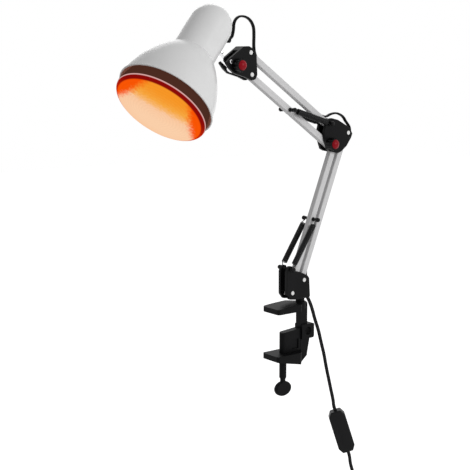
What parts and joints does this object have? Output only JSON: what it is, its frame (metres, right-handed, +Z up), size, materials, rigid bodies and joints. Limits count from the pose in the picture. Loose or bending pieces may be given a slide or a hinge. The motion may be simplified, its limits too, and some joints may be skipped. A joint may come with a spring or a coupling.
{
  "type": "infrared heat therapy lamp",
  "caption": "Clamp-on infrared heat lamp: spring-balanced double-parallelogram arm of white square tubes, tilting and turning bell shade with a red-faced reflector bulb.",
  "frame": {"origin": "on the swivel pin's axis, level with the clamping face of the upper jaw", "axes": "+Z up along the swivel pin's axis; the arm lies in the XZ plane and the jaws and the lamp point toward -X"},
  "size_m": [0.4023, 0.1294, 0.8782],
  "materials": {
    "black_plastic": "satin",
    "bracket_black": "satin",
    "red_plastic": "gloss",
    "switch_black": "satin",
    "holder_white": "satin",
    "cord_black": "satin",
    "white_metal": "gloss",
    "shade_white": "gloss",
    "plated_steel": "satin",
    "spring_steel": "satin",
    "chrome": "polished",
    "red_glass": "polished"
  },
  "bodies": {
    "clamp": {"clamp_frame": "black_plastic", "cord_to_switch": "cord_black", "switch_base": "switch_black", "switch_cover": "switch_black", "cord_below_switch": "cord_black", "cord_coil": "cord_black", "coil_tie": "cord_black", "cord_to_plug": "cord_black", "plug_body": "switch_black", "plug_pins": "plated_steel"},
    "pressure_block": {"pressure_block": "black_plastic"},
    "clamp_screw": {"clamp_screw": "black_plastic"},
    "base": {"swivel_pin": "black_plastic", "base_bracket": "bracket_black", "base_rivets": "white_metal", "base_spring_studs": "plated_steel", "base_cord": "cord_black", "lower_spring_near": "spring_steel", "lower_spring_far": "spring_steel"},
    "lower_front": {"lower_front_tube": "white_metal", "lower_spring_pin": "plated_steel"},
    "lower_rear": {"lower_rear_tube": "white_metal", "lower_cord": "cord_black"},
    "elbow": {"elbow_bracket": "bracket_black", "elbow_rivets": "white_metal", "elbow_friction_bolt": "plated_steel", "elbow_spring_pin": "plated_steel", "elbow_cord": "cord_black", "upper_spring_near": "spring_steel", "upper_spring_far": "spring_steel"},
    "elbow_grip": {"elbow_knob": "black_plastic", "elbow_knob_cap": "red_plastic"},
    "upper_bottom": {"upper_bottom_tube": "white_metal", "upper_spring_pin": "plated_steel"},
    "upper_top": {"upper_top_tube": "white_metal", "upper_cord": "cord_black"},
    "head": {"head_bracket": "bracket_black", "head_rivets": "white_metal", "head_friction_bolt": "plated_steel", "head_tip_screws": "chrome", "head_cord": "cord_black"},
    "head_grip": {"head_knob": "black_plastic", "head_knob_cap": "red_plastic"},
    "stem": {"head_stem": "chrome"},
    "shade": {"shade_knuckle": "chrome", "knuckle_locking_screw": "chrome", "neck_cover": "shade_white", "shade_bell": "shade_white", "lamp_holder": "holder_white", "holder_ring": "holder_white", "bulb_envelope": "red_glass", "bulb_cap": "plated_steel", "cord_grommet": "switch_black"},
    "rocker": {"switch_rocker": "switch_black"}
  },
  "joints": [
    {"name": "clamp_travel", "type": "slide", "parent": "clamp", "child": "pressure_block", "axis": [0, 0, 1], "range_m": [0, 0.0275]},
    {"name": "clamp_screw_turn", "type": "hinge", "parent": "pressure_block", "child": "clamp_screw", "pos_m": [-0.03165, 0, -0.08], "axis": [0, 0, 1], "range_deg": [0, 3960]},
    {"name": "base_swivel", "type": "hinge", "parent": "clamp", "child": "base", "pos_m": [0, 0, 0.012], "axis": [0, 0, 1], "range_deg": [-180, 180], "deforming": ["cord_to_switch", "base_cord"]},
    {"name": "lower_arm_lift", "type": "hinge", "parent": "base", "child": "lower_rear", "pos_m": [0, 0, 0.0426], "axis": [0, 1, 0], "range_deg": [-30, 8], "deforming": ["lower_spring_near", "lower_spring_far", "base_cord", "elbow_cord"]},
    {"name": "lower_front_link", "type": "hinge", "parent": "base", "child": "lower_front", "pos_m": [-0.0216, 0, 0.0259], "axis": [0, 1, 0], "range_deg": [-30, 8]},
    {"name": "elbow_link", "type": "hinge", "parent": "lower_rear", "child": "elbow", "pos_m": [0.08176, 0, 0.24867], "axis": [0, 1, 0], "range_deg": [-8, 30]},
    {"name": "upper_arm_lift", "type": "hinge", "parent": "elbow", "child": "upper_top", "pos_m": [0.04456, 0, 0.26337], "axis": [0, 1, 0], "range_deg": [-50, 20], "deforming": ["upper_spring_near", "upper_spring_far", "elbow_cord", "head_cord"]},
    {"name": "upper_bottom_link", "type": "hinge", "parent": "elbow", "child": "upper_bottom", "pos_m": [0.04656, 0, 0.23427], "axis": [0, 1, 0], "range_deg": [-50, 20]},
    {"name": "head_link", "type": "hinge", "parent": "upper_top", "child": "head", "pos_m": [-0.09805, 0, 0.36238], "axis": [0, 1, 0], "range_deg": [-20, 50]},
    {"name": "head_tilt", "type": "hinge", "parent": "head", "child": "stem", "pos_m": [-0.121, 0, 0.3458], "axis": [0, 1, 0], "range_deg": [-60, 45], "deforming": ["head_cord"]},
    {"name": "lamp_turn", "type": "hinge", "parent": "stem", "child": "shade", "pos_m": [-0.1725, -0.00023, 0.37831], "axis": [0.7852, 0, -0.6192], "range_deg": [-90, 90], "deforming": ["head_cord"]},
    {"name": "elbow_knob_turn", "type": "hinge", "parent": "elbow", "child": "elbow_grip", "pos_m": [0.04656, -0.014, 0.23427], "axis": [0, 1, 0], "range_deg": [-180, 180]},
    {"name": "head_knob_turn", "type": "hinge", "parent": "head", "child": "head_grip", "pos_m": [-0.121, -0.014, 0.3458], "axis": [0, 1, 0], "range_deg": [-180, 180]},
    {"name": "switch_rock", "type": "hinge", "parent": "clamp", "child": "rocker", "pos_m": [0.05937, -0.02668, -0.18642], "axis": [0.7531, -0.5835, 0.304], "range_deg": [-10, 0]}
  ],
  "couplings": [
    {"joint": "clamp_screw_turn", "follows": "clamp_travel", "rad_per_m": 2513.3},
    {"joint": "lower_front_link", "follows": "lower_arm_lift", "ratio": 1},
    {"joint": "elbow_link", "follows": "lower_arm_lift", "ratio": -1},
    {"joint": "upper_bottom_link", "follows": "upper_arm_lift", "ratio": 1},
    {"joint": "head_link", "follows": "upper_arm_lift", "ratio": -1}
  ]
}
